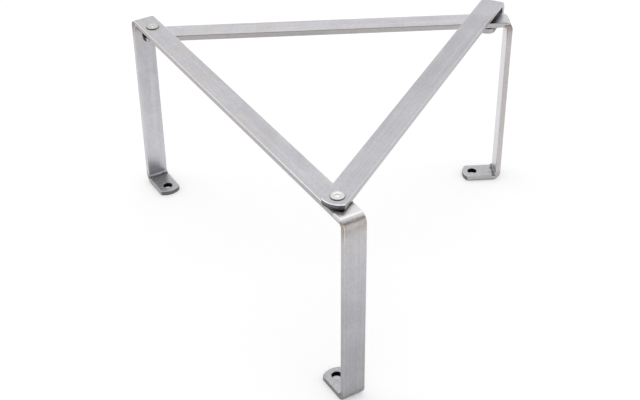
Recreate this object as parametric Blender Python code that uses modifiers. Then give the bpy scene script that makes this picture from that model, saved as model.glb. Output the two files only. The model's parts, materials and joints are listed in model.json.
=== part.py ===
"""Folding campfire cooking stand.

Three bars of the same flat steel make a triangle on three legs. The long bar is a staple with a leg at each end.
The back bar pivots under it and has the third leg. The brace pivots on top of it, and its free end is folded
into an open hook that grips the back bar beside its leg. Two rivets are the pivots.

Each bar starts as a flat blank with its holes and is folded along its middle line, as the real ones are.

Metres, +Z up. The stand rests on z = 0 with the middle of its bounding box over the origin. The back bar runs
along +X at the back, and the front corner points to -Y.
"""
import math

import bmesh
import bpy
from mathutils import Matrix, Vector

# Flat bar
BAR_WIDTH = 0.020
BAR_THICKNESS = 0.005
BEND_RADIUS = 0.003          # inside of every fold
EDGE_ROUND = 0.0006          # softened arris

# Stand
STAND_HEIGHT = 0.180         # floor to the top face of the long bar
PIVOT_SPACING = 0.318        # rivet to rivet along the long bar
PIVOT_SETBACK = 0.0255       # rivet to the outer face of the leg beside it
BACK_ANGLE = math.radians(62.85)   # between the long bar and the back bar
HOOK_ANGLE = math.radians(60.61)   # between the back bar and the brace

# Feet
FOOT_LENGTH = 0.036          # outer face of the leg to the tip
FOOT_HOLE_RADIUS = 0.00425
FOOT_HOLE_TO_TIP = 0.0095

# Ends of the bars
END_RISE = 0.0038            # height of the shallow arc across an end
FOOT_CORNER = 0.0018
BRACE_CORNER = 0.0015
BACK_CORNER = 0.0055
TONGUE_CORNER = 0.0055
BRACE_OVERHANG = 0.0112      # rivet to the tip of the brace
BACK_OVERHANG = 0.0100       # rivet to the tip of the back bar

# Hook
TONGUE_PLAY = 0.0007         # gripped bar to the tongue under it
TONGUE_REACH = 0.0095        # tongue's tip past the middle line of the gripped bar, along the brace
FOLD_CLEARANCE = 0.0003      # gripped bar's edge to the fold round it
LEG_CLEARANCE = 0.0006       # tongue's side to the gripped bar's leg

# Rivets
SHANK_RADIUS = 0.0030
HEAD_RADIUS = 0.0060
HEAD_RIM = 0.0002            # straight side under the rolled ring
RING_HEIGHT = 0.0005         # rolled ring above the rim
DIMPLE_RADIUS = 0.0024       # flat floor inside the ring
DOME_HEIGHT = 0.0020         # head on the underside

# Fits
LAP_GAP = 0.0003             # between lapped faces
PIVOT_CLEARANCE = 0.00008    # radial, shank in its holes

# Facets
BEND_STEPS = 12
ARC_STEPS = 14
CORNER_STEPS = 5
ROUND_STEPS = 36
HEAD_STEPS = 8
ARRIS_STEPS = 2

STEEL = (0.60, 0.60, 0.60)
RIVET_STEEL = (0.66, 0.66, 0.66)

HALF_WIDTH = BAR_WIDTH / 2
HALF_THICKNESS = BAR_THICKNESS / 2
BACK_TOP = STAND_HEIGHT - BAR_THICKNESS - LAP_GAP
BRACE_UNDERSIDE = STAND_HEIGHT + LAP_GAP
TONGUE_TOP = BACK_TOP - BAR_THICKNESS - TONGUE_PLAY
ARRIS_CUT = EDGE_ROUND * (1 - math.sqrt(0.5))   # what the rounding takes from both faces of an edge


def fillet_reach(height):
    """How far the inside of a fold stands out from one face, at this height above the other."""
    if height >= BEND_RADIUS:
        return 0.0
    return BEND_RADIUS - math.sqrt(BEND_RADIUS ** 2 - (BEND_RADIUS - height) ** 2)


# The middle lines of the three bars make a triangle with a rivet at two corners and the hook at the third.
FRONT_ANGLE = math.pi - BACK_ANGLE - HOOK_ANGLE
HOOK_DISTANCE = PIVOT_SPACING * math.sin(FRONT_ANGLE) / math.sin(HOOK_ANGLE)
BRACE_LENGTH = PIVOT_SPACING * math.sin(BACK_ANGLE) / math.sin(HOOK_ANGLE)

# Where the brace's right side passes over the far edge of the gripped bar, along the brace from the hook's corner
FAR_EDGE = (HALF_WIDTH + FOLD_CLEARANCE + HALF_WIDTH * math.cos(HOOK_ANGLE)) / math.sin(HOOK_ANGLE)
FOLD_REACH = FAR_EDGE + fillet_reach(TONGUE_PLAY)
TONGUE_SIDE = FAR_EDGE * math.cos(HOOK_ANGLE) + HALF_WIDTH * math.sin(HOOK_ANGLE)
LEG_FACE = HOOK_DISTANCE + TONGUE_SIDE + LEG_CLEARANCE + fillet_reach(TONGUE_PLAY)
BACK_REACH = LEG_FACE + BAR_THICKNESS


def clear_scene():
    for old in list(bpy.data.objects):
        bpy.data.objects.remove(old, do_unlink=True)


def steel(name, colour, roughness):
    material = bpy.data.materials.new(name)
    material.use_nodes = True
    shader = material.node_tree.nodes["Principled BSDF"]
    shader.inputs["Base Color"].default_value = (*colour, 1.0)
    shader.inputs["Metallic"].default_value = 1.0
    shader.inputs["Roughness"].default_value = roughness
    return material


def add_empty(name, collection, parent=None, location=(0.0, 0.0, 0.0), turn=0.0):
    empty = bpy.data.objects.new(name, None)
    empty.empty_display_size = BAR_WIDTH
    empty.location = location
    empty.rotation_euler.z = turn
    empty.parent = parent
    collection.objects.link(empty)
    return empty


def add_part(name, mesh, material, collection, parent):
    mesh.materials.clear()
    mesh.materials.append(material)
    part = bpy.data.objects.new(name, mesh)
    part.parent = parent
    collection.objects.link(part)
    return part


def end_outline(corner):
    """A bar's end as (back from the tip, across): a shallow arc with a rounded corner on either side."""
    corner = min(corner, 0.9 * HALF_WIDTH)
    arc = (HALF_WIDTH ** 2 + END_RISE ** 2) / (2 * END_RISE)
    across = HALF_WIDTH - corner
    back = arc - math.sqrt((arc - corner) ** 2 - across ** 2)
    lean = math.atan2(across, arc - back)
    side = []
    for step in range(CORNER_STEPS):
        angle = math.pi / 2 + (lean - math.pi / 2) * step / CORNER_STEPS
        side.append((back - corner * math.cos(angle), across + corner * math.sin(angle)))
    front = []
    for step in range(ARC_STEPS + 1):
        angle = lean * (1 - 2 * step / ARC_STEPS)
        front.append((arc * (1 - math.cos(angle)), arc * math.sin(angle)))
    return side + front + [(x, -y) for x, y in reversed(side)]


def add_loop(curve, points):
    loop = curve.splines.new("POLY")
    loop.points.add(len(points) - 1)
    for point, (x, y) in zip(loop.points, points):
        point.co = (x, y, 0.0, 1.0)
    loop.use_cyclic_u = True


def flat_blank(name, length, start_corner, finish_corner, holes):
    """The bar before it is folded, along +X from x = 0, with (distance, radius) holes on its middle line."""
    start = end_outline(start_corner)
    finish = end_outline(finish_corner)
    curve = bpy.data.curves.new(name, "CURVE")
    curve.dimensions = "2D"
    curve.fill_mode = "BOTH"
    curve.extrude = HALF_THICKNESS
    add_loop(curve, [(back, -y) for back, y in start] + [(length - back, y) for back, y in finish])
    for distance, radius in holes:
        turns = [2 * math.pi * step / ROUND_STEPS for step in range(ROUND_STEPS)]
        add_loop(curve, [(distance + radius * math.cos(a), radius * math.sin(a)) for a in turns])
    guide = bpy.data.objects.new(name, curve)
    bpy.context.scene.collection.objects.link(guide)
    mesh = bpy.data.meshes.new_from_object(guide.evaluated_get(bpy.context.evaluated_depsgraph_get()))
    bpy.data.objects.remove(guide, do_unlink=True)
    bpy.data.curves.remove(curve)
    return mesh


def middle_line(corners):
    """Stations (distance, point, heading) along (x, z) corners, with a fold at each inner corner."""
    radius = BEND_RADIUS + HALF_THICKNESS
    here = Vector(corners[0])
    distance = 0.0
    stations = []
    for before, corner, after in zip(corners, corners[1:], corners[2:]):
        into = (Vector(corner) - Vector(before)).normalized()
        out = (Vector(after) - Vector(corner)).normalized()
        turn = math.atan2(into.x * out.y - into.y * out.x, into.dot(out))
        heading = math.atan2(into.y, into.x)
        if not stations:
            stations.append((distance, here, heading))
        start = Vector(corner) - into * radius * math.tan(abs(turn) / 2)
        centre = start + Vector((-into.y, into.x)) * math.copysign(radius, turn)
        distance += (start - here).length
        for step in range(BEND_STEPS + 1):
            part = turn * step / BEND_STEPS
            here = centre + Matrix.Rotation(part, 2) @ (start - centre)
            stations.append((distance + radius * abs(part), here, heading + part))
        distance += radius * abs(turn)
    length = distance + (Vector(corners[-1]) - here).length
    return stations, length


def fold(mesh, stations):
    """Round the blank's arris, cut it at every station and carry each cut to its place on the middle line."""
    bm = bmesh.new()
    bm.from_mesh(mesh)
    bmesh.ops.remove_doubles(bm, verts=bm.verts, dist=1e-6)
    bmesh.ops.dissolve_limit(bm, angle_limit=math.radians(1), verts=bm.verts, edges=bm.edges)
    arris = [edge for edge in bm.edges if edge.calc_face_angle(0.0) > math.radians(80)]
    bmesh.ops.bevel(bm, geom=arris, offset=EDGE_ROUND, offset_type="OFFSET", affect="EDGES",
                    segments=ARRIS_STEPS, profile=0.5, material=-1, clamp_overlap=False)
    for distance, _, _ in stations[1:]:
        everything = bm.verts[:] + bm.edges[:] + bm.faces[:]
        bmesh.ops.bisect_plane(bm, geom=everything, plane_co=(distance, 0.0, 0.0), plane_no=(1.0, 0.0, 0.0),
                               dist=1e-7)
    for vertex in bm.verts:
        passed = [station for station in stations if station[0] <= vertex.co.x + 1e-6]
        distance, point, heading = passed[-1] if passed else stations[0]
        along = Vector((math.cos(heading), math.sin(heading)))
        place = point + along * (vertex.co.x - distance) + Vector((-along.y, along.x)) * vertex.co.z
        vertex.co = (place.x, vertex.co.y, place.y)
    bm.to_mesh(mesh)
    bm.free()
    mesh.shade_smooth()
    mesh.set_sharp_from_angle(angle=math.radians(20))


def make_long_bar(material, collection, parent):
    """The staple: a foot, a leg, the arm with both pivot holes, a leg and a foot."""
    left = -PIVOT_SETBACK + HALF_THICKNESS
    right = PIVOT_SPACING + PIVOT_SETBACK - HALF_THICKNESS
    foot = HALF_THICKNESS
    arm = STAND_HEIGHT - HALF_THICKNESS
    left_tip = FOOT_LENGTH - PIVOT_SETBACK
    right_tip = PIVOT_SPACING + PIVOT_SETBACK - FOOT_LENGTH
    corners = [(left_tip, foot), (left, foot), (left, arm), (right, arm), (right, foot), (right_tip, foot)]
    stations, length = middle_line(corners)
    pivot = SHANK_RADIUS + PIVOT_CLEARANCE
    holes = [(FOOT_HOLE_TO_TIP, FOOT_HOLE_RADIUS), ((length - PIVOT_SPACING) / 2, pivot),
             ((length + PIVOT_SPACING) / 2, pivot), (length - FOOT_HOLE_TO_TIP, FOOT_HOLE_RADIUS)]
    mesh = flat_blank("long_bar", length, FOOT_CORNER, FOOT_CORNER, holes)
    fold(mesh, stations)
    return add_part("long_bar", mesh, material, collection, parent)


def make_back_bar(material, collection, parent):
    """The lower bar: its lapped end under the long bar, the arm, a leg and a foot."""
    arm = BACK_TOP - HALF_THICKNESS
    leg = BACK_REACH - HALF_THICKNESS
    foot = HALF_THICKNESS
    stations, length = middle_line([(-BACK_OVERHANG, arm), (leg, arm), (leg, foot), (BACK_REACH - FOOT_LENGTH, foot)])
    holes = [(BACK_OVERHANG, SHANK_RADIUS + PIVOT_CLEARANCE), (length - FOOT_HOLE_TO_TIP, FOOT_HOLE_RADIUS)]
    mesh = flat_blank("back_bar", length, BACK_CORNER, FOOT_CORNER, holes)
    fold(mesh, stations)
    return add_part("back_bar", mesh, material, collection, parent)


def make_brace(material, collection, parent):
    """The upper bar: its lapped end on the long bar, the arm, and the hook folded back under the gripped bar."""
    arm = BRACE_UNDERSIDE + HALF_THICKNESS
    tongue = TONGUE_TOP - HALF_THICKNESS
    web = BRACE_LENGTH + FOLD_REACH + HALF_THICKNESS
    stations, length = middle_line([(-BRACE_OVERHANG, arm), (web, arm), (web, tongue),
                                    (BRACE_LENGTH - TONGUE_REACH, tongue)])
    mesh = flat_blank("brace", length, BRACE_CORNER, TONGUE_CORNER,
                      [(BRACE_OVERHANG, SHANK_RADIUS + PIVOT_CLEARANCE)])
    fold(mesh, stations)
    return add_part("brace", mesh, material, collection, parent)


def rivet_profile():
    """Half the rivet as (radius, height), from the dimple down to the middle of the domed head."""
    ring = (HEAD_RADIUS - DIMPLE_RADIUS) / 2
    grip = 2 * BAR_THICKNESS + 3 * LAP_GAP
    profile = [(0.0, HEAD_RIM)]
    for step in range(HEAD_STEPS + 1):
        angle = math.pi * (1 - step / HEAD_STEPS)
        profile.append((DIMPLE_RADIUS + ring * (1 + math.cos(angle)), HEAD_RIM + RING_HEIGHT * math.sin(angle)))
    profile += [(HEAD_RADIUS, 0.0), (SHANK_RADIUS, 0.0), (SHANK_RADIUS, -grip)]
    for step in range(HEAD_STEPS + 1):
        angle = math.pi / 2 * step / HEAD_STEPS
        profile.append((HEAD_RADIUS * math.cos(angle), -grip - DOME_HEIGHT * math.sin(angle)))
    return profile


def make_rivet(name, underside, material, collection, parent):
    """A rivet round the parent's Z axis, with the underside of its rolled head at this height."""
    mesh = bpy.data.meshes.new(name)
    profile = rivet_profile()
    mesh.from_pydata([(r, 0.0, z) for r, z in profile], [(i, i + 1) for i in range(len(profile) - 1)], [])
    rivet = add_part(name, mesh, material, collection, parent)
    rivet.location.z = underside
    turned = rivet.modifiers.new("turned", "SCREW")
    turned.axis = "Z"
    turned.steps = ROUND_STEPS
    turned.render_steps = ROUND_STEPS
    turned.use_merge_vertices = True
    turned.merge_threshold = 0.00001
    turned.use_smooth_shade = True
    return rivet


def main():
    clear_scene()
    collection = bpy.data.collections.new("campfire_cooking_stand")
    bpy.context.scene.collection.children.link(collection)

    # The long bar's ends set the left, back and front of the stand, and the back bar's leg the right.
    reach = Vector((math.cos(BACK_ANGLE), -math.sin(BACK_ANGLE), 0.0))
    side = Vector((math.sin(BACK_ANGLE), math.cos(BACK_ANGLE), 0.0)) * (HALF_WIDTH - ARRIS_CUT)
    left = -(reach * (PIVOT_SETBACK - ARRIS_CUT) + side).x
    back = (side - reach * (PIVOT_SETBACK - ARRIS_CUT)).y
    front = (reach * (PIVOT_SPACING + PIVOT_SETBACK - ARRIS_CUT) - side).y
    stand = add_empty("stand", collection, location=(-(left + BACK_REACH) / 2, -(back + front) / 2, 0.0))

    back_pivot = add_empty("back_pivot", collection, stand)
    long_axis = add_empty("long_bar_line", collection, stand, turn=-BACK_ANGLE)
    front_pivot = add_empty("front_pivot", collection, stand, reach * PIVOT_SPACING, HOOK_ANGLE)

    bar_steel = steel("satin_steel", STEEL, 0.38)
    make_long_bar(bar_steel, collection, long_axis)
    make_back_bar(bar_steel, collection, back_pivot)
    make_brace(bar_steel, collection, front_pivot)
    rivet_steel = steel("rivet_steel", RIVET_STEEL, 0.30)
    make_rivet("back_rivet", STAND_HEIGHT + LAP_GAP, rivet_steel, collection, back_pivot)
    make_rivet("front_rivet", BRACE_UNDERSIDE + BAR_THICKNESS + LAP_GAP, rivet_steel, collection, front_pivot)


main()
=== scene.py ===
"""Finish, floor, light and camera for a folding campfire cooking stand.

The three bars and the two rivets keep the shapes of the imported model. The bars get a rolled steel that
follows each bar through its folds, and the rivets a turned steel. Sizes and places are in metres, in the
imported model's frame: the floor is at z = 0 and the front corner points to -Y.
"""

import json
import math
from collections import namedtuple
from functools import reduce

import bmesh
import bpy
from bpy.props import FloatProperty, FloatVectorProperty, PointerProperty
from mathutils import Matrix, Vector


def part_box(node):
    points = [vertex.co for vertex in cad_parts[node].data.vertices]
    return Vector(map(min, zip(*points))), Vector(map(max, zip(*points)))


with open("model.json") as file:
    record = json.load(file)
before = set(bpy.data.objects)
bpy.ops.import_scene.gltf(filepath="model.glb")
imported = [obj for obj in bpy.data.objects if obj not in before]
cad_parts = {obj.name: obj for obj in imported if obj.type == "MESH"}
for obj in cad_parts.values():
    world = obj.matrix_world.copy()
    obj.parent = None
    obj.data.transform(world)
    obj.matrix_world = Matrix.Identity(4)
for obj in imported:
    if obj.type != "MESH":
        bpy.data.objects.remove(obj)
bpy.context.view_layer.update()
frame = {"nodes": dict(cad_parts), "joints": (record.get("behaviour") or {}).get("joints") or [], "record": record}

bl_info = {
    "name": "Campfire cooking stand",
    "version": (1, 0, 0),
    "blender": (4, 5, 0),
    "location": "3D View > Sidebar > Cooking stand",
    "description": "Dresses a folding stand of bent flat steel bar",
    "category": "Object",
}

JOINTS = {joint["name"]: joint for joint in frame["joints"]}
BACK_PIVOT = Vector(JOINTS["back_bar_swing"]["pos_m"])
FRONT_PIVOT = Vector(JOINTS["brace_swing"]["pos_m"])
BLACK = (0.0, 0.0, 0.0)
WHITE = (1.0, 1.0, 1.0)


# Settings

class BarSettings(bpy.types.PropertyGroup):
    """Finish of the three flat bars"""

    steel: FloatVectorProperty(
        name="Steel", description="Colour of the rolled faces", default=(0.525, 0.517, 0.543),
        subtype="COLOR", size=3, min=0.0, max=1.0)
    warm_steel: FloatVectorProperty(
        name="Warm steel", description="Colour of the patches that heat and handling have warmed",
        default=(0.545, 0.522, 0.514), subtype="COLOR", size=3, min=0.0, max=1.0)
    # Painted shade: the narrow sides and the cut ends take this darker steel
    shaded_side_steel: FloatVectorProperty(
        name="Edge steel", description="Colour of the narrow rolled sides", default=(0.42, 0.405, 0.40),
        subtype="COLOR", size=3, min=0.0, max=1.0)
    fold_stain: FloatVectorProperty(
        name="Fold stain", description="Colour that the folding left below each fold",
        default=(0.36, 0.30, 0.26), subtype="COLOR", size=3, min=0.0, max=1.0)
    # Painted shade, with some dirt, in the peg holes, the laps, under the brace's ends and in the hook's gap
    shade_and_dirt: FloatVectorProperty(
        name="Dirt", description="Colour in the holes and between the lapped bars",
        default=(0.02, 0.018, 0.016), subtype="COLOR", size=3, min=0.0, max=1.0)
    # A painted highlight on the long bar's top before the front leg's fold
    painted_highlight: FloatVectorProperty(
        name="Burnished steel", description="Colour that the folding rubbed bright before the front leg",
        default=(0.82, 0.81, 0.79), subtype="COLOR", size=3, min=0.0, max=1.0)
    roughness: FloatProperty(
        name="Roughness", description="Roughness of the rolled faces", default=0.33, min=0.05, max=1.0,
        subtype="FACTOR")
    grain_pitch: FloatProperty(
        name="Grain pitch", description="Mean spacing of the rolling lines across the bar", default=0.0007,
        min=0.0001, max=0.01, unit="LENGTH", precision=4)
    grain_depth: FloatProperty(
        name="Grain depth", description="Depth of the rolling lines", default=0.000014, min=0.0, max=0.001,
        unit="LENGTH", precision=6)
    pivot_setback: FloatProperty(
        name="Pivot setback", description="From a rivet's axis to the outer face of the leg beside it",
        default=0.0255, min=0.005, max=0.1, unit="LENGTH")
    hook_reach: FloatProperty(
        name="Hook reach", description="From the brace's rivet to where it crosses the back bar",
        default=0.3248, min=0.1, max=1.0, unit="LENGTH")
    fold_radius: FloatProperty(
        name="Fold radius", description="Outside radius of the folds at the legs", default=0.008, min=0.002,
        max=0.05, unit="LENGTH")


class RivetSettings(bpy.types.PropertyGroup):
    """Finish of the two pivot rivets"""

    steel: FloatVectorProperty(
        name="Steel", description="Colour of the rivets", default=(0.70, 0.70, 0.695), subtype="COLOR",
        size=3, min=0.0, max=1.0)
    roughness: FloatProperty(
        name="Roughness", description="Roughness of the rivet heads", default=0.30, min=0.05, max=1.0,
        subtype="FACTOR")


class StageSettings(bpy.types.PropertyGroup):
    """Floor, lamp and camera"""

    floor: FloatVectorProperty(
        name="Floor", description="Colour of the floor", default=(0.80, 0.80, 0.80), subtype="COLOR", size=3,
        min=0.0, max=1.0)
    floor_lift: FloatProperty(
        name="Floor lift", description="Glow that brings the lit floor to white", default=0.30, min=0.0,
        max=1.0, subtype="FACTOR")
    floor_size: FloatProperty(
        name="Floor size", description="Width of the square floor", default=12.0, min=1.0, max=100.0,
        unit="LENGTH")
    surround: FloatProperty(
        name="Surround", description="Strength of the even light from all sides", default=0.84, min=0.0,
        max=2.0)
    overhead: FloatProperty(
        name="Overhead lamp", description="Power of the large soft lamp above the stand", default=2.6,
        min=0.0, max=500.0, unit="POWER")
    lens: FloatProperty(
        name="Lens", description="Focal length of the camera", default=74.0, min=10.0, max=500.0,
        subtype="DISTANCE_CAMERA")


# Shader helpers

NUMBER = "NodeSocketFloat"
COLOUR = "NodeSocketColor"
VECTOR = "NodeSocketVector"
PATTERN_MIDDLE = (0.3, 0.7)
FLATTEN = (1.0, 1.0, 0.0)
ORIGIN = (0.0, 0.0, 0.0)


def give(tree, value, socket):
    """Fills a socket: another node's socket is linked to it, and anything else is set as its value."""
    if isinstance(value, bpy.types.NodeSocket):
        tree.links.new(value, socket)
    else:
        socket.default_value = value


def add_node(tree, kind, **attributes):
    """A new node of this kind with its attributes set."""
    node = tree.nodes.new(kind)
    for name, value in attributes.items():
        setattr(node, name, value)
    return node


def feed(tree, node, **inputs):
    """Fills a node's inputs by name, where an underscore stands for a space."""
    for name, value in inputs.items():
        give(tree, value, node.inputs[name.replace("_", " ")])


def maths(tree, operation, *values, clamp=False):
    """What a Math node makes of the values."""
    node = add_node(tree, "ShaderNodeMath", operation=operation, use_clamp=clamp)
    for value, socket in zip(values, node.inputs):
        give(tree, value, socket)
    return node.outputs[0]


def product(tree, *factors):
    """The factors multiplied."""
    return reduce(lambda first, second: maths(tree, "MULTIPLY", first, second), factors)


def total(tree, *terms):
    """The terms added."""
    return reduce(lambda first, second: maths(tree, "ADD", first, second), terms)


def vector_maths(tree, operation, first, second):
    """The outputs of a Vector Math node that is given two vectors."""
    node = add_node(tree, "ShaderNodeVectorMath", operation=operation)
    give(tree, first, node.inputs[0])
    give(tree, second, node.inputs[1])
    return node.outputs


def distance(tree, point, place=ORIGIN):
    """How far the point lies from the place."""
    return vector_maths(tree, "DISTANCE", point, place)["Value"]


def split(tree, vector):
    """The vector's x, y and z."""
    parts = add_node(tree, "ShaderNodeSeparateXYZ")
    give(tree, vector, parts.inputs[0])
    return parts.outputs


def ramp(tree, value, low, high, out_low=0.0, out_high=1.0):
    """A smooth step of the value, from out_low at low to out_high at high."""
    node = add_node(tree, "ShaderNodeMapRange", interpolation_type="SMOOTHSTEP")
    feed(tree, node, Value=value, From_Min=low, From_Max=high, To_Min=out_low, To_Max=out_high)
    return node.outputs["Result"]


def between(tree, value, rise, fall):
    """A mask that rises over one step of the value and falls over the other."""
    return product(tree, ramp(tree, value, *rise), ramp(tree, value, *fall))


def factor_where(tree, mask, factor):
    """1 where the mask is 0, and the factor where it is 1."""
    return ramp(tree, mask, 0.0, 1.0, 1.0, factor)


def spread(tree, pattern, low, high):
    """The middle values of a noise pattern, spread from low to high."""
    return ramp(tree, pattern, *PATTERN_MIDDLE, low, high)


def noise(tree, point, cells, detail=3.0, rough=0.55):
    """Noise with this many cells in a metre along each axis."""
    node = add_node(tree, "ShaderNodeTexNoise", noise_dimensions="3D")
    stretched = vector_maths(tree, "MULTIPLY", point, cells)["Vector"]
    feed(tree, node, Vector=stretched, Scale=1.0, Detail=detail, Roughness=rough)
    return node.outputs["Fac"]


def blend_colours(tree, factor, first, second):
    """The first colour where the factor is 0, and the second where it is 1."""
    node = add_node(tree, "ShaderNodeMix", data_type="RGBA")
    give(tree, factor, node.inputs["Factor"])
    for name, value in (("A", first), ("B", second)):
        give(tree, value, next(s for s in node.inputs if s.name == name and s.type == "RGBA"))
    return next(s for s in node.outputs if s.type == "RGBA")


def toned(tree, colour, tone):
    """The colour times the tone."""
    node = add_node(tree, "ShaderNodeVectorMath", operation="SCALE")
    give(tree, colour, node.inputs[0])
    give(tree, tone, node.inputs["Scale"])
    return node.outputs["Vector"]


def seen_from(tree, vector, centre, turn, reach=(1.0, 1.0, 1.0)):
    """The vector as it is from this centre, turned back about Z and counted in reaches."""
    own = add_node(tree, "ShaderNodeMapping", vector_type="TEXTURE")
    feed(tree, own, Vector=vector, Location=centre, Rotation=(0.0, 0.0, turn), Scale=reach)
    return own.outputs["Vector"]


def opaque(colour, tone=1.0):
    """The colour at this tone, with its alpha."""
    return (*(part * tone for part in colour), 1.0)


# Rolled steel

# Noise cells in a metre along, across and up a bar
GRAIN_CELLS_ALONG = 14.0
STREAK_CELLS = (6.0, 420.0, 6.0)
STRIATION_CELLS = (700.0, 60.0, 700.0)
SPECK_CELLS = (900.0, 900.0, 900.0)
MOTTLE_CELLS = (420.0, 420.0, 420.0)
WANDER_CELLS = (150.0, 150.0, 150.0)
CLOUD_CELLS = (45.0, 45.0, 45.0)
WARMTH_CELLS = (24.0, 24.0, 24.0)

# Steps over a noise pattern: a step goes from 0 to 1 between its first two numbers, or from its third number
# to its fourth where it has four
SPECK_STEP = (0.68, 0.76)
WARMTH_STEP = (0.42, 0.64)
CREASE_PATCHES = (0.35, 0.65, 0.3, 0.75)
STAIN_PATCHES = (0.40, 0.62, 0.28, 0.70)
WANDER_STEP = (0.25, 0.75, -0.0005, 0.0005)

# Steps over a part of the normal, which is 1 on a face square to that direction
FACES_SIDE = (0.6, 0.95)
ARRIS_FROM_TOP = (0.08, 0.4)
ARRIS_TO_SIDE = (0.95, 0.8)
END_ARRIS_STEP = (0.15, 0.4)
NOT_FACING_UP = (0.45, 0.1)
NOT_FACING_SIDE = (0.9, 0.6)

# Steps over a height above the floor, or over a depth below the top of the arm
ABOVE_FOOT = (0.006, 0.016)
CLEAR_OF_FOOT = (0.01, 0.02)
IN_FOOT = (0.012, 0.005)
# Painted shade on a bar just above the floor
FLOOR_SHADE = (0.0004, 0.0018, 0.5, 1.0)
FOOT_CREASE_HEIGHTS = ((0.0046, 0.0052), (0.0068, 0.0056))
BELOW_ARM = (0.010, 0.024)
CREASE_DEPTHS = ((0.0020, 0.0026), (0.0040, 0.0028))
STAIN_DEPTHS = ((0.0020, 0.0040), (0.016, 0.006))
WARMTH_DEPTHS = (0.035, 0.012)

# How far a foot's crease reaches past the leg's fold line, and how strong and dark the painted shade in the
# creases is
CORNER_REACH = 0.0034
FOOT_CREASE_STRENGTH = 0.85
CREASE_SHADE_COLOUR = (0.10, 0.08, 0.07)

# What each pattern adds to the tone, or takes from it for the specks
LINE_TONES = (-0.04, 0.04)
STREAK_TONES = (-0.05, 0.05)
MOTTLE_TONES = (-0.045, 0.045)
CLOUD_TONES = (-0.04, 0.04)
SPECK_TONE = 0.12

# Factors on the tone, the mottle and the long edges of a foot, a leg or an end
# Painted shade darkens the feet and painted light brightens the legs past the folds; FOOT_ARRIS and LEG_ARRIS
# weaken the painted light on their long edges
FOOT_SHADE_TONE = 0.86
FOOT_MOTTLE = 2.2
FOOT_ARRIS = 0.1
LEG_LIGHT_TONE = 1.06
LEG_ARRIS = 0.25
# A painted highlight along the ends' top edges, and painted shade on the end faces
END_HIGHLIGHT_TONE = 1.55
END_FACE_SHADE_TONE = 0.38

# What is added to the roughness, and how high each pattern stands beside the rolling lines
CLOUD_ROUGHNESS = (-0.03, 0.05)
LINE_ROUGHNESS = (-0.03, 0.03)
SIDE_ROUGHNESS = 0.1
STAIN_ROUGHNESS = 0.2
MOTTLE_HEIGHT = 0.8
SPECK_HEIGHT = 0.8
STRIATION_HEIGHT = 1.5


def fold_marks(tree, given, clouds, past_fold, up, below_arm):
    """Masks of the painted crease shade at the top and foot of a leg, and of the stain below its upper fold."""
    along = split(tree, given["Point"])["X"]
    wander = ramp(tree, noise(tree, given["Point"], WANDER_CELLS, detail=4.0), *WANDER_STEP)
    depth = total(tree, below_arm, wander)
    creased = between(tree, depth, *CREASE_DEPTHS)
    crease_shade = product(tree, creased, past_fold, ramp(tree, clouds, *CREASE_PATCHES))
    stained = between(tree, depth, *STAIN_DEPTHS)
    stain = product(tree, stained, past_fold, ramp(tree, clouds, *STAIN_PATCHES))
    near_end = maths(tree, "SUBTRACT", given["Near fold"], CORNER_REACH)
    far_end = maths(tree, "ADD", given["Far fold"], CORNER_REACH)
    in_corner = product(tree, maths(tree, "GREATER_THAN", along, near_end),
                        maths(tree, "LESS_THAN", along, far_end), past_fold)
    foot_crease_shade = product(tree, between(tree, total(tree, up, wander), *FOOT_CREASE_HEIGHTS), in_corner)
    return maths(tree, "MAXIMUM", crease_shade, product(tree, foot_crease_shade, FOOT_CREASE_STRENGTH)), stain


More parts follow.
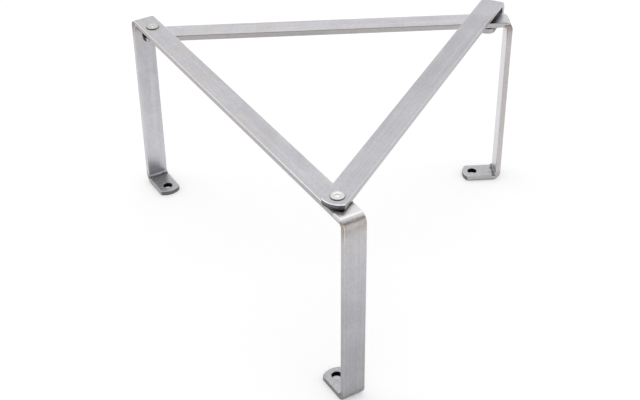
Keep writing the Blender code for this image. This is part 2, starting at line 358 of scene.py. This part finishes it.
def rolled_steel(tree, given, result):
    """Colour, roughness and height of rolled flat bar, from a point and a normal in the bar's own directions:
    x along it, y across it and z up. A pattern as long up as along follows the bar through its folds."""
    point = given["Point"]
    along, _, up = split(tree, point)
    ahead, sideways, upright = (maths(tree, "ABSOLUTE", part) for part in split(tree, given["Normal"]))
    below_arm = maths(tree, "SUBTRACT", given["Arm top"], up)

    line_cells = add_node(tree, "ShaderNodeCombineXYZ")
    feed(tree, line_cells, X=GRAIN_CELLS_ALONG, Y=maths(tree, "DIVIDE", 1.0, given["Grain pitch"]),
         Z=GRAIN_CELLS_ALONG)
    lines = noise(tree, point, line_cells.outputs["Vector"], detail=4.0, rough=0.65)
    streaks = noise(tree, point, STREAK_CELLS, detail=2.0)
    mottle = noise(tree, point, MOTTLE_CELLS, detail=2.0)
    clouds = noise(tree, point, CLOUD_CELLS)
    warmth = noise(tree, point, WARMTH_CELLS, detail=4.0)
    specks = ramp(tree, noise(tree, point, SPECK_CELLS, detail=1.0), *SPECK_STEP)
    striations = noise(tree, point, STRIATION_CELLS)

    past_fold = maths(tree, "MAXIMUM", maths(tree, "LESS_THAN", along, given["Near fold"]),
                      maths(tree, "GREATER_THAN", along, given["Far fold"]))
    in_arm = maths(tree, "SUBTRACT", 1.0, past_fold)
    in_leg = product(tree, ramp(tree, up, *ABOVE_FOOT), ramp(tree, below_arm, *BELOW_ARM))
    in_turned_leg = product(tree, in_leg, past_fold)
    in_foot = ramp(tree, up, *IN_FOOT)
    cut_end = product(tree, ramp(tree, upright, *NOT_FACING_UP), in_arm)
    # Painted shade on the cut end faces, and a painted highlight along the ends' top edges
    shaded_end_face = product(tree, cut_end, ramp(tree, sideways, *NOT_FACING_SIDE))
    end_highlight = product(tree, ramp(tree, ahead, *END_ARRIS_STEP), ramp(tree, upright, *END_ARRIS_STEP),
                        in_arm, ramp(tree, up, *CLEAR_OF_FOOT))
    # Painted light on the long edges: the Arris factor makes a highlight above 1 and a shade below 1
    painted_arris = product(tree, between(tree, sideways, ARRIS_FROM_TOP, ARRIS_TO_SIDE),
                    factor_where(tree, in_turned_leg, LEG_ARRIS), factor_where(tree, in_foot, FOOT_ARRIS))
    # Painted shade on the sides and the cut ends, with less of it in the legs
    side = maths(tree, "MAXIMUM", ramp(tree, sideways, *FACES_SIDE), cut_end)
    side_shown = product(tree, side, factor_where(tree, in_leg, given["Leg sides"]))
    side_shade = maths(tree, "MAXIMUM", side_shown, shaded_end_face)
    crease_shade, stain = fold_marks(tree, given, clouds, past_fold, up, below_arm)

    mottling = product(tree, spread(tree, mottle, *MOTTLE_TONES), factor_where(tree, in_foot, FOOT_MOTTLE))
    pattern = total(tree, spread(tree, lines, *LINE_TONES), spread(tree, streaks, *STREAK_TONES), mottling,
                    spread(tree, clouds, *CLOUD_TONES))
    pattern = maths(tree, "SUBTRACT", pattern, product(tree, specks, SPECK_TONE))
    # Painted light in the tone: shade on the feet, the end faces and just above the floor, light on the legs and
    # the ends' top edges, light and shade on the long edges
    tone = product(tree, total(tree, factor_where(tree, in_foot, FOOT_SHADE_TONE), pattern),
                   factor_where(tree, painted_arris, given["Arris"]), factor_where(tree, end_highlight, END_HIGHLIGHT_TONE),
                   factor_where(tree, shaded_end_face, END_FACE_SHADE_TONE), ramp(tree, up, *FLOOR_SHADE),
                   factor_where(tree, in_turned_leg, LEG_LIGHT_TONE))

    warmed = product(tree, ramp(tree, warmth, *WARMTH_STEP), ramp(tree, below_arm, *WARMTH_DEPTHS))
    colour = blend_colours(tree, warmed, given["Steel"], given["Warm steel"])
    colour = blend_colours(tree, side_shade, colour, given["Edge steel"])
    colour = blend_colours(tree, stain, colour, given["Fold stain"])
    # Painted shade along the creases
    colour = blend_colours(tree, crease_shade, colour, opaque(CREASE_SHADE_COLOUR))

    rough = total(tree, given["Roughness"], spread(tree, clouds, *CLOUD_ROUGHNESS),
                  spread(tree, lines, *LINE_ROUGHNESS), product(tree, side_shade, SIDE_ROUGHNESS))
    stained = product(tree, maths(tree, "MAXIMUM", stain, crease_shade), STAIN_ROUGHNESS)
    rough = maths(tree, "ADD", rough, stained, clamp=True)

    height = total(tree, lines, product(tree, mottle, MOTTLE_HEIGHT))
    height = maths(tree, "SUBTRACT", height, product(tree, specks, SPECK_HEIGHT))
    height = total(tree, height, product(tree, striations, side, STRIATION_HEIGHT))
    feed(tree, result, Color=toned(tree, colour, tone), Roughness=rough, Height=height)


# Turned steel

# Noise cells in a metre, what the patterns make of the tone and the roughness, and the depth of the relief
RIVET_CLOUD_CELLS = (500.0, 500.0, 500.0)
RIVET_SPECK_CELLS = (2200.0, 2200.0, 2200.0)
RIVET_SPECK_STEP = (0.66, 0.76)
RIVET_CLOUD_TONES = (0.95, 1.05)
RIVET_SPECK_TONE = 0.1
RIVET_CLOUD_ROUGHNESS = (-0.04, 0.06)
RIVET_RELIEF = 0.00002

# Rim, dish and punch mark, as steps over the distance from the rivet's axis or from the mark
# Painted shade at the rim and in the groove's far side, and a painted highlight on the dish and at the punch mark
RIM_SHADE_TONES = (0.0051, 0.0058, 1.0, 0.48)
DISH_HIGHLIGHT_TONES = (0.0012, 0.0046, 1.18, 0.92)
PUNCH_HIGHLIGHT_TONES = (0.0008, 0.0018, 1.14, 1.0)
PUNCH_MARK = (0.0, -0.0012, 0.0)
GROOVE_REACH = ((0.0014, 0.0022), (0.0032, 0.0024))
GROOVE_FAR_SIDE = (-0.0012, 0.0006)
GROOVE_SHADE_TONE = 0.55


def turned_steel(tree, given, result):
    """Colour, roughness and height of a rivet, from a point about the rivet's axis."""
    point = given["Point"]
    clouds = noise(tree, point, RIVET_CLOUD_CELLS)
    specks = ramp(tree, noise(tree, point, RIVET_SPECK_CELLS, detail=1.0), *RIVET_SPECK_STEP)
    flat = vector_maths(tree, "MULTIPLY", point, FLATTEN)["Vector"]
    from_axis = distance(tree, flat)
    from_punch = distance(tree, flat, PUNCH_MARK)
    far_side = ramp(tree, split(tree, point)["Y"], *GROOVE_FAR_SIDE)
    groove_shade = product(tree, between(tree, from_punch, *GROOVE_REACH), far_side)
    pattern = maths(tree, "SUBTRACT", spread(tree, clouds, *RIVET_CLOUD_TONES),
                    product(tree, specks, RIVET_SPECK_TONE))
    # Painted light in the tone: shade at the rim and in the groove's far side, highlight on the dish and at the
    # punch mark
    tone = product(tree, pattern, ramp(tree, from_axis, *RIM_SHADE_TONES), factor_where(tree, groove_shade, GROOVE_SHADE_TONE),
                   ramp(tree, from_axis, *DISH_HIGHLIGHT_TONES), ramp(tree, from_punch, *PUNCH_HIGHLIGHT_TONES))
    rough = maths(tree, "ADD", given["Roughness"], spread(tree, clouds, *RIVET_CLOUD_ROUGHNESS), clamp=True)
    feed(tree, result, Color=toned(tree, given["Steel"], tone), Roughness=rough,
         Height=maths(tree, "SUBTRACT", clouds, specks))


# Masks of the marks on the bars

# Steps at a mark's edge, which is at 1
HOLE_EDGE = (1.12, 1.0)
BOX_EDGE = (1.0, 0.9)


def hole_wall(tree, given, result):
    """A mask of an upright hole's wall, from a point that is at 1 all round it and at 1 at its upper end."""
    flat = vector_maths(tree, "MULTIPLY", given["Point"], FLATTEN)["Vector"]
    wall = ramp(tree, distance(tree, flat), *HOLE_EDGE)
    below_top = maths(tree, "LESS_THAN", split(tree, given["Point"])["Z"], 1.0)
    feed(tree, result, Mask=product(tree, wall, below_top))


def marked_box(tree, given, result):
    """A mask of what lies in a box, from a point that is at 1 on each of its faces."""
    parts = (ramp(tree, maths(tree, "ABSOLUTE", part), *BOX_EDGE) for part in split(tree, given["Point"]))
    feed(tree, result, Mask=product(tree, *parts))


# Shader groups

SURFACE = {"Color": COLOUR, "Roughness": NUMBER, "Height": NUMBER}
GROUPS = {
    "Rolled steel": (
        rolled_steel,
        {"Point": VECTOR, "Normal": VECTOR, "Steel": COLOUR, "Warm steel": COLOUR, "Edge steel": COLOUR,
         "Fold stain": COLOUR, "Roughness": NUMBER, "Grain pitch": NUMBER, "Arris": NUMBER,
         "Leg sides": NUMBER, "Near fold": NUMBER, "Far fold": NUMBER, "Arm top": NUMBER},
        SURFACE),
    "Turned steel": (turned_steel, {"Point": VECTOR, "Steel": COLOUR, "Roughness": NUMBER}, SURFACE),
    "Peg hole": (hole_wall, {"Point": VECTOR}, {"Mask": NUMBER}),
    "Marked box": (marked_box, {"Point": VECTOR}, {"Mask": NUMBER}),
}


def shader_group(name):
    """The shared node group of this name, built when it is first asked for."""
    tree = bpy.data.node_groups.get(name)
    if tree is None:
        tree = bpy.data.node_groups.new(name, "ShaderNodeTree")
        build, inputs, outputs = GROUPS[name]
        for in_out, sockets in (("INPUT", inputs), ("OUTPUT", outputs)):
            for label, kind in sockets.items():
                tree.interface.new_socket(name=label, in_out=in_out, socket_type=kind)
        build(tree, tree.nodes.new("NodeGroupInput").outputs, tree.nodes.new("NodeGroupOutput"))
    return tree


# Steel and its marks

# A mark on a bar: the group that masks it, its place, turn and reach, and what it lays there
Mark = namedtuple("Mark", ("group", "centre", "turn", "reach", "colour", "strength", "roughness"))
# Roughness of the marks of painted shade and dirt
SHADE_AND_DIRT_ROUGHNESS = 0.9
HIGHLIGHT_ROUGHNESS = 0.28

# A peg hole's radius, and a height just above the face that it comes out of
HOLE_RADIUS = 0.00425
ABOVE_FOOT_FACE = 0.0056

# How far before the crossing the hook's fold begins, and a length past any bar for an end without a fold
HOOK_FOLD_SETBACK = 0.014
NO_FOLD = 10.0

# Boxes of the marks: along and across a bar from a pivot or from the hook's crossing, and heights
# Painted shade, with some dirt, in the laps at the two rivets
BACK_LAP = ((-0.016, 0.016), (-0.0125, 0.0098), (0.1736, 0.1762))
FRONT_LAP = ((-0.0118, 0.020), (-0.0099, 0.0099), (0.1795, 0.1807))
# Painted shade under the brace's front end, and a painted shadow with soot just past it
FRONT_END = ((-0.0180, -0.0020), (-0.0099, 0.0099), (0.1790, 0.1822))
FRONT_SHADOW_AND_SOOT = ((-0.0148, 0.012), (-0.0115, 0.0095), (0.1795, 0.1807))
# A painted highlight on the long bar's top before the front leg's fold
FRONT_PAINTED_HIGHLIGHT = ((0.0095, 0.0203), (-0.0108, 0.0108), (0.1765, 0.1810))
# Painted shadow in the hook's gap under the brace, and painted shade on the hook's tongue below the back bar
HOOK_GAP = ((-0.0135, 0.0135), (-0.0092, 0.0094), (0.1741, 0.1808))
HOOK_TONGUE_SHADE = ((-0.030, 0.030), (-0.012, 0.012), (0.155, 0.1708))


def steel_material(name, group, centre, turn, depth, marks=(), **values):
    """A steel of the given group, its pattern centred here and turned about Z, its relief this deep, with
    marks of painted shade, painted highlight, dirt, soot and wear laid over it."""
    material = bpy.data.materials.new(name)
    material.use_nodes = True
    tree = material.node_tree
    place = add_node(tree, "ShaderNodeTexCoord").outputs
    surface = add_node(tree, "ShaderNodeGroup", node_tree=shader_group(group))
    feed(tree, surface, Point=seen_from(tree, place["Object"], centre, turn), **values)
    if "Normal" in surface.inputs:
        feed(tree, surface, Normal=seen_from(tree, place["Normal"], ORIGIN, turn))
    colour = surface.outputs["Color"]
    roughness = surface.outputs["Roughness"]
    for mark in marks:
        mask = add_node(tree, "ShaderNodeGroup", node_tree=shader_group(mark.group))
        feed(tree, mask, Point=seen_from(tree, place["Object"], mark.centre, mark.turn, mark.reach))
        marked = product(tree, mask.outputs["Mask"], mark.strength)
        colour = blend_colours(tree, marked, colour, opaque(mark.colour))
        roughness = ramp(tree, marked, 0.0, 1.0, roughness, mark.roughness)
    bump = add_node(tree, "ShaderNodeBump")
    feed(tree, bump, Strength=1.0, Distance=depth, Height=surface.outputs["Height"])
    feed(tree, tree.nodes["Principled BSDF"], Metallic=1.0, Base_Color=colour, Roughness=roughness,
         Normal=bump.outputs["Normal"])
    return material


def assign(piece, material):
    """Makes this the piece's one material."""
    piece.data.materials.clear()
    piece.data.materials.append(material)


def peg_hole(opening, colour):
    """Painted shade on the wall of the peg hole that the record's opening of this name runs through."""
    low, high = next(box["box_m"] for box in frame["record"]["physics"]["openings"] if box["name"] == opening)
    centre = ((low[0] + high[0]) / 2, (low[1] + high[1]) / 2, 0.0)
    reach = (HOLE_RADIUS, HOLE_RADIUS, ABOVE_FOOT_FACE)
    return Mark("Peg hole", centre, 0.0, reach, colour, 1.0, SHADE_AND_DIRT_ROUGHNESS)


def patch(start, turn, box, colour, strength=1.0, roughness=SHADE_AND_DIRT_ROUGHNESS):
    """A mark on what lies in a box: its reach along and across a bar from the start, and its heights."""
    along, across, height = (sum(ends) / 2 for ends in box)
    middle = start + Matrix.Rotation(turn, 3, "Z") @ Vector((along, across, 0.0))
    reach = [(high - low) / 2 for low, high in box]
    return Mark("Marked box", (middle.x, middle.y, height), turn, reach, colour, strength, roughness)


def finish_bar(settings, node, pivot, turn, near_fold, far_fold, has_leg, tone, side_tone, painted_arris, leg_sides,
               marks):
    """Gives a bar its rolled steel. Its folds are counted along it from the pivot. The tones scale the
    colours of its faces and sides, painted_arris scales the painted light on its long edges, and leg_sides is
    how much of the sides' painted shade shows in its legs."""
    arm_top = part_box(node)[1].z if has_leg else NO_FOLD
    material = steel_material(
        f"{node} rolled steel", "Rolled steel", (pivot.x, pivot.y, 0.0), turn, settings.grain_depth, marks,
        Steel=opaque(settings.steel, tone), Warm_steel=opaque(settings.warm_steel, tone),
        Edge_steel=opaque(settings.shaded_side_steel, side_tone), Fold_stain=opaque(settings.fold_stain),
        Roughness=settings.roughness, Grain_pitch=settings.grain_pitch, Arris=painted_arris, Leg_sides=leg_sides,
        Near_fold=near_fold, Far_fold=far_fold, Arm_top=arm_top)
    assign(frame["nodes"][node], material)


# Stage

AIM = Vector((0.0, 0.0, 0.1))
LAMP_PLACE = Vector((0.0, 0.40, 1.3))
LAMP_SIZE = (2.0, 1.0)
CARD_PLACE = Vector((0.0, -0.75, 1.15))
CARD_SIZE = (2.4, 0.55)
CARD_COLOUR = (0.25, 0.25, 0.25)
CAMERA_PLACE = (-0.0718, -0.9243, 0.7479)
CAMERA_TURN_DEGREES = (54.206, 0.445, -3.973)

# Steps over the distance from the middle of the floor, and from the place in front of the feet
FLOOR_FADE = (0.3, 1.3)
FRONT_OF_FEET = (0.0, -0.18, 0.0)
# A painted shadow pool in front of the feet, with painted light beyond it, that only the steel mirrors
MIRRORED_SHADOW_POOL = (0.05, 0.32, 0.0, 1.25)


def sheet_of_paper(name, size, place, material):
    """A flat rectangle of the stage, placed by its matrix."""
    mesh = bpy.data.meshes.new(name)
    shape = bmesh.new()
    bmesh.ops.create_grid(shape, x_segments=1, y_segments=1, size=0.5)
    bmesh.ops.scale(shape, vec=(*size, 1.0), verts=shape.verts)
    bmesh.ops.transform(shape, matrix=place, verts=shape.verts)
    shape.to_mesh(mesh)
    shape.free()
    paper = bpy.data.objects.new(name, mesh)
    bpy.context.scene.collection.objects.link(paper)
    assign(paper, material)
    return paper


def matt_material(name):
    """A material without gloss, its node tree and its shader."""
    material = bpy.data.materials.new(name)
    material.use_nodes = True
    tree = material.node_tree
    shader = tree.nodes["Principled BSDF"]
    feed(tree, shader, Roughness=1.0, Specular_IOR_Level=0.0)
    return material, tree, shader


def lay_floor(settings):
    """A pale floor that takes the stand's shadow and fades to plain white away from it. The steel mirrors a
    painted shadow pool in front of the feet, and painted light beyond it."""
    material, tree, shader = matt_material("floor paper")
    rays = add_node(tree, "ShaderNodeLightPath").outputs
    place = add_node(tree, "ShaderNodeTexCoord").outputs["Object"]
    away = ramp(tree, distance(tree, place), *FLOOR_FADE)
    colour = blend_colours(tree, away, opaque(settings.floor), opaque(BLACK))
    lift = total(tree, settings.floor_lift, product(tree, away, 1.0 - settings.floor_lift))
    # Painted shadow pool in front of the feet and painted light beyond it, seen only by glossy rays
    shadow_pool = ramp(tree, distance(tree, place, FRONT_OF_FEET), *MIRRORED_SHADOW_POOL)
    mirrored = product(tree, shadow_pool, rays["Is Glossy Ray"])
    shown = total(tree, rays["Is Camera Ray"], rays["Is Transmission Ray"])
    glow = product(tree, lift, total(tree, shown, mirrored))
    feed(tree, shader, Base_Color=colour, Emission_Color=opaque(WHITE), Emission_Strength=glow)
    sheet_of_paper("floor", (settings.floor_size, settings.floor_size), Matrix.Identity(4), material)


def light_surround(scene, settings):
    """An even light from all sides that shows and mirrors as plain white."""
    world = bpy.data.worlds.new("studio")
    world.use_nodes = True
    tree = world.node_tree
    rays = add_node(tree, "ShaderNodeLightPath").outputs
    seen_or_mirrored = total(tree, rays["Is Camera Ray"], rays["Is Glossy Ray"])
    seen_or_mirrored = maths(tree, "ADD", seen_or_mirrored, rays["Is Transmission Ray"], clamp=True)
    strength = ramp(tree, seen_or_mirrored, 0.0, 1.0, settings.surround, 1.0)
    feed(tree, tree.nodes["Background"], Color=opaque(WHITE), Strength=strength)
    scene.world = world


def facing_stand(place):
    """The matrix of something at this place that looks at the middle of the stand."""
    turn = (place - AIM).to_track_quat("Z", "Y")
    return Matrix.Translation(place) @ turn.to_matrix().to_4x4()


def hang_lamp(settings):
    """One large soft lamp above and behind the stand."""
    lamp = bpy.data.lights.new("overhead lamp", "AREA")
    lamp.shape = "RECTANGLE"
    lamp.size, lamp.size_y = LAMP_SIZE
    lamp.energy = settings.overhead
    lamp_object = bpy.data.objects.new("overhead lamp", lamp)
    lamp_object.matrix_world = facing_stand(LAMP_PLACE)
    bpy.context.scene.collection.objects.link(lamp_object)


def hang_dark_card():
    """A dark card above the camera that only the steel mirrors, as a studio hangs one to shape bare metal."""
    material, tree, shader = matt_material("dark card")
    feed(tree, shader, Base_Color=opaque(CARD_COLOUR))
    card = sheet_of_paper("dark card", CARD_SIZE, facing_stand(CARD_PLACE), material)
    card.visible_camera = False
    card.visible_diffuse = False
    card.visible_shadow = False


def place_camera(scene, settings):
    """A camera at the photograph's viewing angle."""
    camera = bpy.data.cameras.new("camera")
    camera.lens = settings.lens
    camera_object = bpy.data.objects.new("camera", camera)
    camera_object.location = CAMERA_PLACE
    camera_object.rotation_euler = [math.radians(angle) for angle in CAMERA_TURN_DEGREES]
    scene.collection.objects.link(camera_object)
    scene.camera = camera_object


# Operators

class STAND_OT_finish_bars(bpy.types.Operator):
    """Give the long bar, the back bar and the brace their rolled steel"""

    bl_idname = "stand.finish_bars"
    bl_label = "Finish the bars"

    def execute(self, context):
        settings = context.scene.stand_bars
        shade_and_dirt = settings.shade_and_dirt
        long_way = FRONT_PIVOT - BACK_PIVOT
        low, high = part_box("brace")
        brace_way = (low + high) / 2 - FRONT_PIVOT
        long_angle = math.atan2(long_way.y, long_way.x)
        brace_angle = math.atan2(brace_way.y, brace_way.x)
        past_pivot = settings.pivot_setback - settings.fold_radius
        far_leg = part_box("back_bar")[1].x - BACK_PIVOT.x - settings.fold_radius
        to_hook = settings.hook_reach
        crossing = FRONT_PIVOT + Matrix.Rotation(brace_angle, 3, "Z") @ Vector((to_hook, 0.0, 0.0))

        # Painted shade, with some dirt, in the laps at the two rivets
        back_lap_shade = patch(BACK_PIVOT, long_angle, BACK_LAP, shade_and_dirt)
        front_lap_shade = patch(FRONT_PIVOT, brace_angle, FRONT_LAP, shade_and_dirt)
        # Painted shade under the brace's front end, and a painted shadow with soot just past it
        front_end_shade = patch(FRONT_PIVOT, brace_angle, FRONT_END, shade_and_dirt, strength=0.5)
        front_shadow_and_soot = patch(FRONT_PIVOT, brace_angle, FRONT_SHADOW_AND_SOOT, shade_and_dirt, strength=0.6)
        # A painted highlight on the long bar's top before the front leg's fold
        front_painted_highlight = patch(FRONT_PIVOT, long_angle, FRONT_PAINTED_HIGHLIGHT, settings.painted_highlight, strength=0.6,
                            roughness=HIGHLIGHT_ROUGHNESS)
        # Painted shadow in the hook's gap on the brace, a weak painted shade with a rub mark on the back bar
        # beneath it, and painted shade on the hook's tongue
        hook_gap_shadow = patch(crossing, brace_angle, HOOK_GAP, shade_and_dirt)
        hook_rub_and_shade = patch(crossing, brace_angle, HOOK_GAP, shade_and_dirt, strength=0.15)
        hook_tongue_shade = patch(crossing, brace_angle, HOOK_TONGUE_SHADE, shade_and_dirt, strength=0.15)

        finish_bar(
            settings, "long_bar", BACK_PIVOT, long_angle, near_fold=-past_pivot,
            far_fold=long_way.length + past_pivot, has_leg=True,
            tone=1.0, side_tone=1.06, painted_arris=1.5, leg_sides=0.2,
            marks=(peg_hole("left_peg_hole", shade_and_dirt), peg_hole("front_peg_hole", shade_and_dirt), front_painted_highlight, back_lap_shade,
                   front_lap_shade, front_shadow_and_soot))
        finish_bar(
            settings, "back_bar", BACK_PIVOT, 0.0, near_fold=-NO_FOLD, far_fold=far_leg, has_leg=True,
            tone=1.10, side_tone=1.18, painted_arris=0.12, leg_sides=1.0,
            marks=(peg_hole("right_peg_hole", shade_and_dirt), back_lap_shade, hook_rub_and_shade))
        finish_bar(
            settings, "brace", FRONT_PIVOT, brace_angle, near_fold=-NO_FOLD,
            far_fold=to_hook - HOOK_FOLD_SETBACK, has_leg=False,
            tone=0.93, side_tone=1.0, painted_arris=1.15, leg_sides=0.3,
            marks=(front_lap_shade, front_end_shade, hook_gap_shadow, hook_tongue_shade))
        return {"FINISHED"}


class STAND_OT_finish_rivets(bpy.types.Operator):
    """Give the two pivot rivets their turned steel"""

    bl_idname = "stand.finish_rivets"
    bl_label = "Finish the rivets"

    def execute(self, context):
        settings = context.scene.stand_rivets
        for node, pivot, tone in (("back_rivet", BACK_PIVOT, 0.85), ("front_rivet", FRONT_PIVOT, 1.0)):
            material = steel_material(
                f"{node} turned steel", "Turned steel", pivot, 0.0, RIVET_RELIEF,
                Steel=opaque(settings.steel, tone), Roughness=settings.roughness)
            assign(frame["nodes"][node], material)
        return {"FINISHED"}


class STAND_OT_set_stage(bpy.types.Operator):
    """Lay the floor, hang the lamp and the dark card, and place the camera"""

    bl_idname = "stand.set_stage"
    bl_label = "Set the stage"

    def execute(self, context):
        settings = context.scene.stand_stage
        lay_floor(settings)
        light_surround(context.scene, settings)
        hang_lamp(settings)
        hang_dark_card()
        place_camera(context.scene, settings)
        context.scene.view_settings.view_transform = "Standard"
        return {"FINISHED"}


# Panel

class STAND_PT_cooking_stand(bpy.types.Panel):
    """The stand's settings and its steps in order"""

    bl_idname = "STAND_PT_cooking_stand"
    bl_label = "Cooking stand"
    bl_space_type = "VIEW_3D"
    bl_region_type = "UI"
    bl_category = "Cooking stand"

    def draw(self, context):
        for settings_name, step in STEPS:
            settings = getattr(context.scene, settings_name)
            box = self.layout.box()
            for prop in settings.bl_rna.properties:
                if prop.identifier not in ("rna_type", "name"):
                    box.prop(settings, prop.identifier)
            box.operator(step.bl_idname)


STEPS = (
    ("stand_bars", STAND_OT_finish_bars),
    ("stand_rivets", STAND_OT_finish_rivets),
    ("stand_stage", STAND_OT_set_stage),
)
SETTINGS = {"stand_bars": BarSettings, "stand_rivets": RivetSettings, "stand_stage": StageSettings}
CLASSES = (*SETTINGS.values(), *(step for _, step in STEPS), STAND_PT_cooking_stand)


def register():
    for cls in CLASSES:
        bpy.utils.register_class(cls)
    for name, group in SETTINGS.items():
        setattr(bpy.types.Scene, name, PointerProperty(type=group))


def unregister():
    for name in SETTINGS:
        delattr(bpy.types.Scene, name)
    for cls in reversed(CLASSES):
        bpy.utils.unregister_class(cls)


def main():
    register()
    bpy.ops.stand.finish_bars()
    bpy.ops.stand.finish_rivets()
    bpy.ops.stand.set_stage()


if __name__ == "__main__":
    main()
